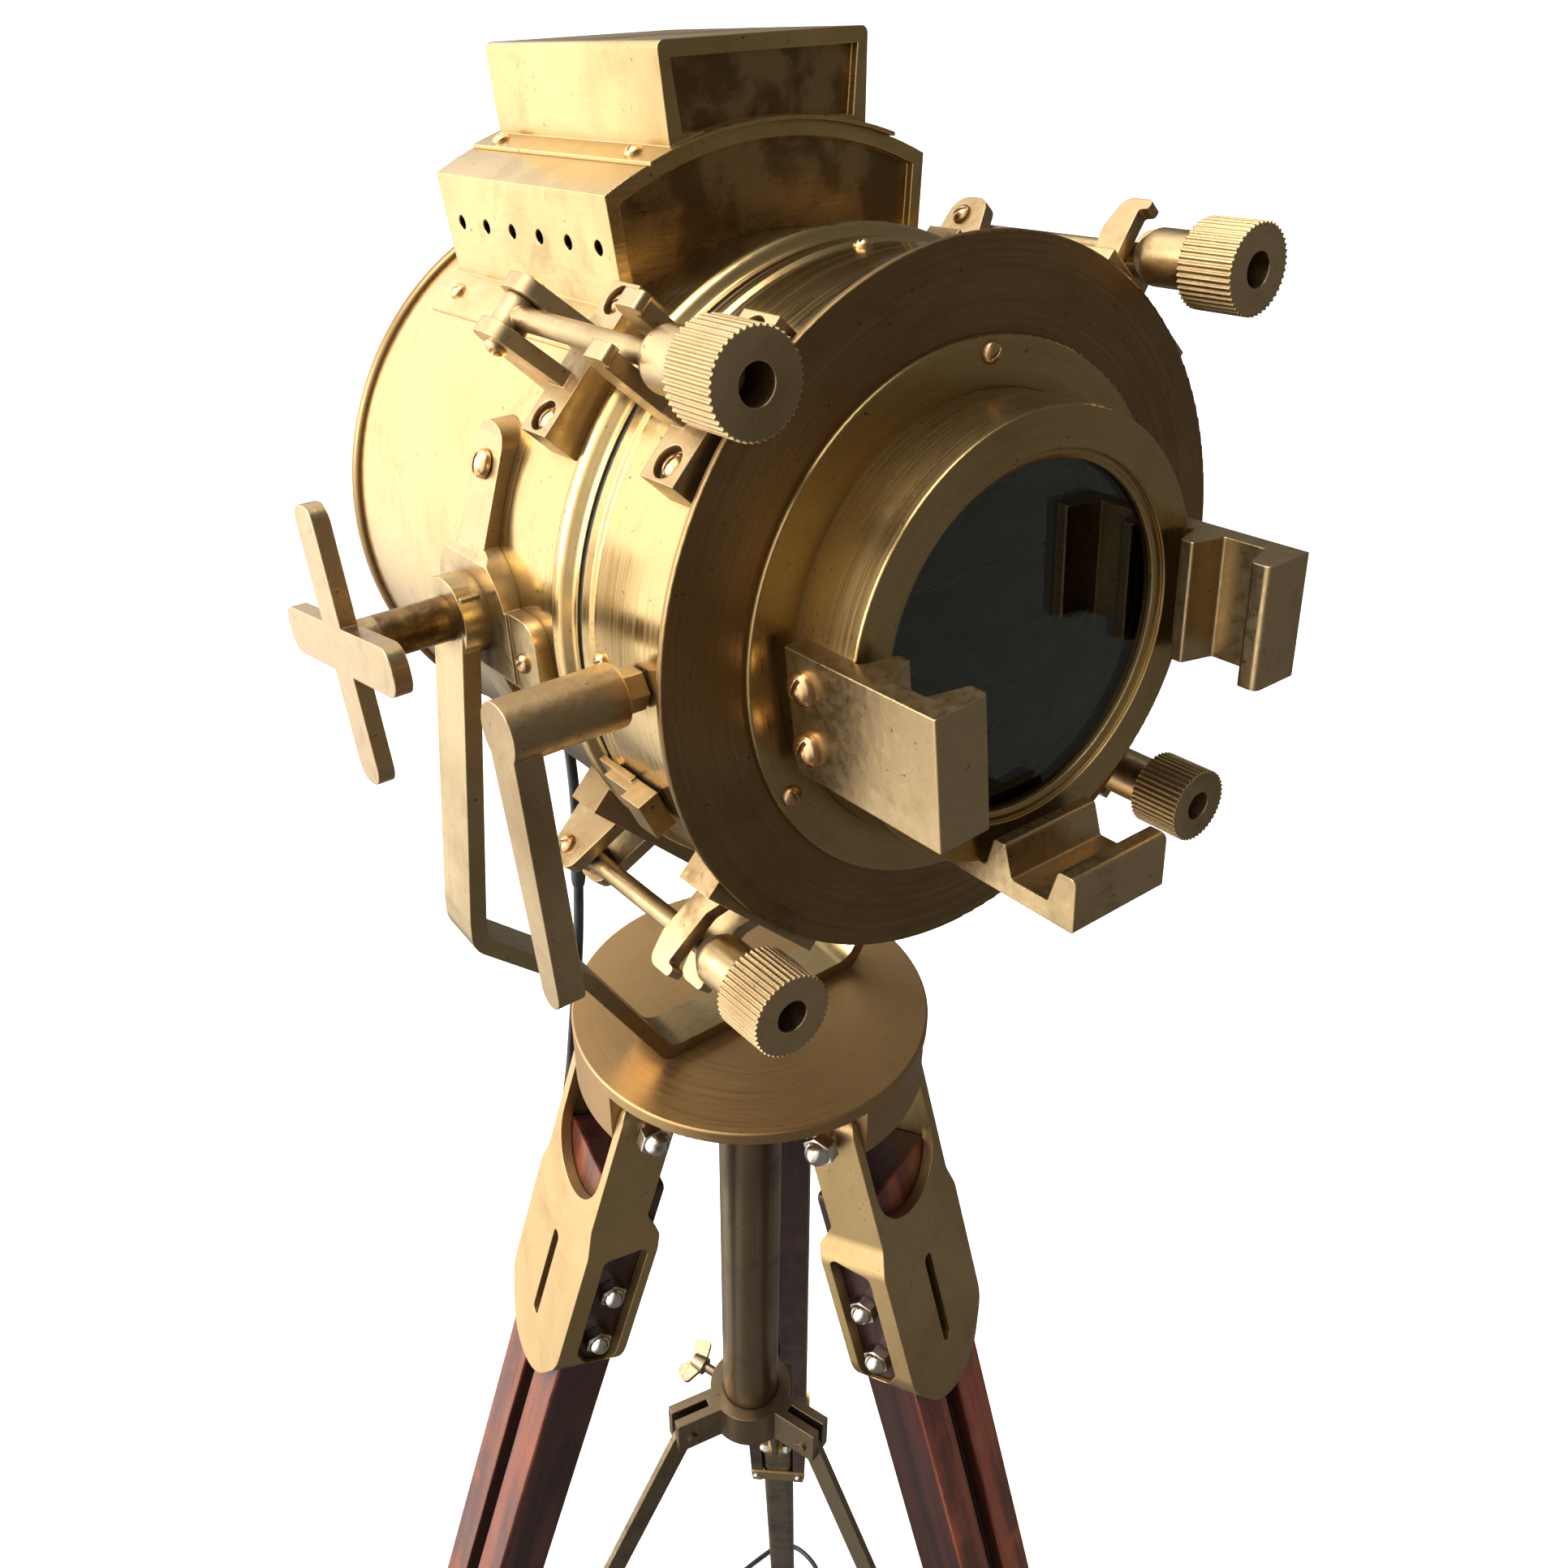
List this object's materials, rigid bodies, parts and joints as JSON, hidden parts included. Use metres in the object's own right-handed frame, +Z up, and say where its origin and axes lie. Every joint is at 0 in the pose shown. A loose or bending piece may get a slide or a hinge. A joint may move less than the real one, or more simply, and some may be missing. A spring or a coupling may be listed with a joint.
{
  "type": "nautical searchlight on a folding tripod",
  "caption": "Antique-brass nautical searchlight floor lamp: a latched drum head with chimney and shutter, tilting in a flat-bar yoke on a folding wooden tripod with telescoping lower legs.",
  "frame": {"origin": "on the floor, on the centre column's axis", "axes": "+Z up, the lamp shines towards -Y, +X to the lamp's left as seen from behind it"},
  "size_m": [0.936, 0.9571, 2.0262],
  "materials": {
    "antique_brass": "brushed antique brass with a warm brown patina",
    "dark_brass": "darker brown-patinated brass",
    "disc_brass": "satin copper-brown brass",
    "column_brass": "brushed olive-brown brass",
    "nickel": "polished nickel",
    "mahogany": "polished mahogany",
    "screw_brass": "worn brass screws",
    "lens_glass": "dark glass",
    "black_rubber": "black flex and rubber",
    "reflector_alu": "spun reflector",
    "bulb_glass": "opal lamp glass",
    "vane_metal": "blackened shutter vanes"
  },
  "bodies": {
    "tripod": {"head_disc": "disc_brass", "column": "column_brass", "tripod_bolts": "nickel", "cord_lower": "black_rubber", "cord_floor": "black_rubber", "cord_coil": "black_rubber", "plug": "black_rubber"},
    "yoke": {"yoke_bar": "antique_brass", "cord_sleeve": "black_rubber"},
    "lamp_head": {"drum_shell": "antique_brass", "rear_cover": "antique_brass", "seam_gasket": "black_rubber", "front_ring": "antique_brass", "front_flange": "dark_brass", "retaining_ring": "antique_brass", "snout": "dark_brass", "front_glass": "lens_glass", "chimney_box": "antique_brass", "chimney_stack": "antique_brass", "trunnions": "antique_brass", "ring_fittings": "antique_brass", "clevises": "antique_brass", "filter_holders": "antique_brass", "shutter_frame": "vane_metal", "reflector": "reflector_alu", "lamp_holder": "dark_brass", "lamp_bulb": "bulb_glass", "cord_gland": "black_rubber", "cord_upper": "black_rubber", "head_screws": "screw_brass"},
    "tilt_handle": {"tilt_handle": "antique_brass"},
    "shutter_lever": {"shutter_lever": "antique_brass", "vane_2": "vane_metal"},
    "vane_low": {"vane_1": "vane_metal"},
    "vane_high": {"vane_3": "vane_metal"},
    "spider": {"spider": "column_brass"},
    "thumb_screw": {"thumb_screw": "column_brass"},
    "bolt_ul": {"bolt_ul": "antique_brass"},
    "knob_ul": {"knob_ul": "antique_brass"},
    "bolt_ur": {"bolt_ur": "antique_brass"},
    "knob_ur": {"knob_ur": "antique_brass"},
    "bolt_ll": {"bolt_ll": "antique_brass"},
    "knob_ll": {"knob_ll": "antique_brass"},
    "bolt_lr": {"bolt_lr": "antique_brass"},
    "knob_lr": {"knob_lr": "antique_brass"},
    "leg_a": {"leg_a_wood": "mahogany", "leg_a_saddle": "antique_brass", "leg_a_bolts": "nickel"},
    "lower_leg_a": {"leg_a_lower": "column_brass"},
    "strut_a": {"strut_a": "column_brass"},
    "leg_b": {"leg_b_wood": "mahogany", "leg_b_saddle": "antique_brass", "leg_b_bolts": "nickel"},
    "lower_leg_b": {"leg_b_lower": "column_brass"},
    "strut_b": {"strut_b": "column_brass"},
    "leg_c": {"leg_c_wood": "mahogany", "leg_c_saddle": "antique_brass", "leg_c_bolts": "nickel"},
    "lower_leg_c": {"leg_c_lower": "column_brass"},
    "strut_c": {"strut_c": "column_brass"}
  },
  "joints": [
    {"name": "pan", "type": "hinge", "parent": "tripod", "child": "yoke", "pos_m": [0, 0, 1.6], "axis": [0, 0, 1], "range_deg": [-90, 90], "deforming": ["cord_lower"]},
    {"name": "tilt", "type": "hinge", "parent": "yoke", "child": "lamp_head", "pos_m": [0, 0, 1.8504], "axis": [1, 0, 0], "range_deg": [-60, 35], "deforming": ["cord_upper"]},
    {"name": "tilt_handle_turn", "type": "hinge", "parent": "lamp_head", "child": "tilt_handle", "pos_m": [-0.16, 0, 1.8504], "axis": [1, 0, 0], "range_deg": [-90, 90]},
    {"name": "latch_ul_swing", "type": "hinge", "parent": "lamp_head", "child": "bolt_ul", "pos_m": [-0.09999, -0.01207, 1.95206], "axis": [-0.7071, -0.0695, -0.7037], "range_deg": [0, 95]},
    {"name": "latch_ul_knob", "type": "hinge", "parent": "bolt_ul", "child": "knob_ul", "pos_m": [-0.09999, -0.10959, 1.96169], "axis": [0, -0.9952, 0.0983], "continuous": true},
    {"name": "latch_ur_swing", "type": "hinge", "parent": "lamp_head", "child": "bolt_ur", "pos_m": [0.09999, -0.01207, 1.95206], "axis": [-0.7071, 0.0695, 0.7037], "range_deg": [0, 95]},
    {"name": "latch_ur_knob", "type": "hinge", "parent": "bolt_ur", "child": "knob_ur", "pos_m": [0.09999, -0.10959, 1.96169], "axis": [0, -0.9952, 0.0983], "continuous": true},
    {"name": "latch_ll_swing", "type": "hinge", "parent": "lamp_head", "child": "bolt_ll", "pos_m": [-0.09999, -0.03172, 1.75306], "axis": [0.7071, -0.0695, -0.7037], "range_deg": [0, 95]},
    {"name": "latch_ll_knob", "type": "hinge", "parent": "bolt_ll", "child": "knob_ll", "pos_m": [-0.09999, -0.12924, 1.76269], "axis": [0, -0.9952, 0.0983], "continuous": true},
    {"name": "latch_lr_swing", "type": "hinge", "parent": "lamp_head", "child": "bolt_lr", "pos_m": [0.09999, -0.03172, 1.75306], "axis": [0.7071, 0.0695, 0.7037], "range_deg": [0, 95]},
    {"name": "latch_lr_knob", "type": "hinge", "parent": "bolt_lr", "child": "knob_lr", "pos_m": [0.09999, -0.12924, 1.76269], "axis": [0, -0.9952, 0.0983], "continuous": true},
    {"name": "shutter_lever_turn", "type": "hinge", "parent": "lamp_head", "child": "shutter_lever", "pos_m": [-0.15, -0.10016, 1.86391], "axis": [1, 0, 0], "range_deg": [-60, 25]},
    {"name": "vane_low_turn", "type": "hinge", "parent": "lamp_head", "child": "vane_low", "pos_m": [0, -0.10315, 1.83356], "axis": [1, 0, 0], "range_deg": [-60, 25]},
    {"name": "vane_high_turn", "type": "hinge", "parent": "lamp_head", "child": "vane_high", "pos_m": [0, -0.09716, 1.89426], "axis": [1, 0, 0], "range_deg": [-60, 25]},
    {"name": "leg_a_fold", "type": "hinge", "parent": "tripod", "child": "leg_a", "pos_m": [0.04461, 0.05132, 1.572], "axis": [-0.7547, 0.6561, 0], "range_deg": [0, 10]},
    {"name": "leg_a_slide", "type": "slide", "parent": "leg_a", "child": "lower_leg_a", "axis": [-0.1896, -0.2181, 0.9573], "range_m": [0, 0.24]},
    {"name": "leg_b_fold", "type": "hinge", "parent": "tripod", "child": "leg_b", "pos_m": [-0.06675, 0.01298, 1.572], "axis": [-0.1908, -0.9816, 0], "range_deg": [0, 10]},
    {"name": "leg_b_slide", "type": "slide", "parent": "leg_b", "child": "lower_leg_b", "axis": [0.2837, -0.0552, 0.9573], "range_m": [0, 0.24]},
    {"name": "leg_c_fold", "type": "hinge", "parent": "tripod", "child": "leg_c", "pos_m": [0.02214, -0.0643, 1.572], "axis": [0.9455, 0.3256, 0], "range_deg": [0, 10]},
    {"name": "leg_c_slide", "type": "slide", "parent": "leg_c", "child": "lower_leg_c", "axis": [-0.0941, 0.2733, 0.9573], "range_m": [0, 0.24]},
    {"name": "spider_slide", "type": "slide", "parent": "tripod", "child": "spider", "axis": [0, 0, 1], "range_m": [0, 0.0215]},
    {"name": "thumb_screw_turn", "type": "hinge", "parent": "spider", "child": "thumb_screw", "pos_m": [-0.00586, 0.01702, 1.266], "axis": [-0.3256, 0.9455, 0], "continuous": true},
    {"name": "strut_a_swing", "type": "hinge", "parent": "spider", "child": "strut_a", "pos_m": [0.02821, 0.03245, 1.261], "axis": [-0.7547, 0.6561, 0], "range_deg": [0, 15.5]},
    {"name": "strut_b_swing", "type": "hinge", "parent": "spider", "child": "strut_b", "pos_m": [-0.04221, 0.00821, 1.261], "axis": [-0.1908, -0.9816, 0], "range_deg": [0, 15.5]},
    {"name": "strut_c_swing", "type": "hinge", "parent": "spider", "child": "strut_c", "pos_m": [0.014, -0.04066, 1.261], "axis": [0.9455, 0.3256, 0], "range_deg": [0, 15.5]}
  ],
  "couplings": [
    {"joint": "vane_low_turn", "follows": "shutter_lever_turn", "ratio": 1},
    {"joint": "vane_high_turn", "follows": "shutter_lever_turn", "ratio": 1},
    {"joint": "leg_b_fold", "follows": "leg_a_fold", "ratio": 1},
    {"joint": "leg_c_fold", "follows": "leg_a_fold", "ratio": 1},
    {"joint": "spider_slide", "follows": "leg_a_fold", "m_per_rad": 0.1226},
    {"joint": "strut_a_swing", "follows": "leg_a_fold", "ratio": 1.54},
    {"joint": "strut_b_swing", "follows": "leg_a_fold", "ratio": 1.54},
    {"joint": "strut_c_swing", "follows": "leg_a_fold", "ratio": 1.54}
  ]
}
